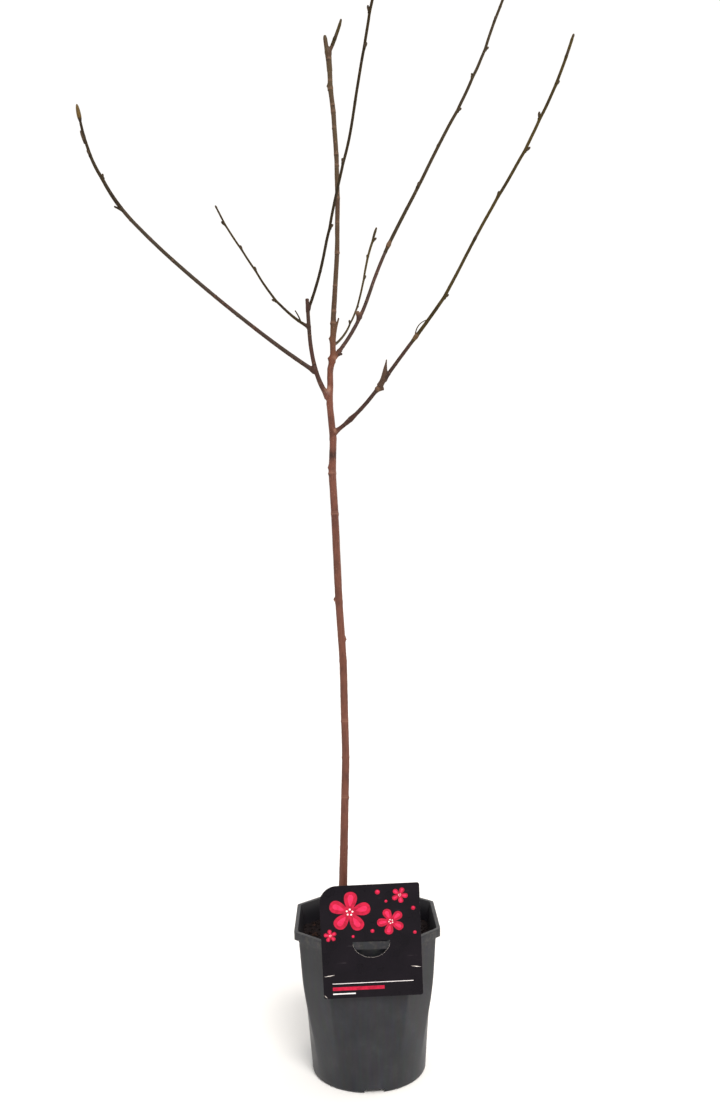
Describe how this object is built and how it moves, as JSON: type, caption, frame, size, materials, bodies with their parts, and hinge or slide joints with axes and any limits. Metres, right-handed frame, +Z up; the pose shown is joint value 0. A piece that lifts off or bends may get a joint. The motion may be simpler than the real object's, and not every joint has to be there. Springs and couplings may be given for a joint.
{
  "type": "young bare magnolia tree in a nursery pot",
  "caption": "Young bare-twigged magnolia with a single slim trunk, in a square-rimmed plastic nursery pot with a hanging plant label.",
  "frame": {"origin": "centre of the pot's flat underside", "axes": "+Z up along the pot's axis, +X to the right along the front of the rim, +Y to the back"},
  "size_m": [0.5751, 0.3387, 1.4293],
  "materials": {
    "pot_plastic": "satin",
    "soil": "matte",
    "label_card": "satin",
    "bark": "matte",
    "young_bark": "satin",
    "twigs": "matte"
  },
  "bodies": {
    "root": {"pot": "pot_plastic", "potting_soil": "soil", "plant_label": "label_card", "trunk": "bark", "left_bough": "young_bark", "long_left_bough": "young_bark", "right_bough": "young_bark", "middle_bough": "young_bark", "long_left_twigs": "twigs", "right_twigs": "twigs", "middle_twigs": "twigs", "inner_twigs": "twigs", "left_twigs": "twigs", "centre_twigs": "twigs", "leader_twigs": "twigs"}
  },
  "joints": []
}
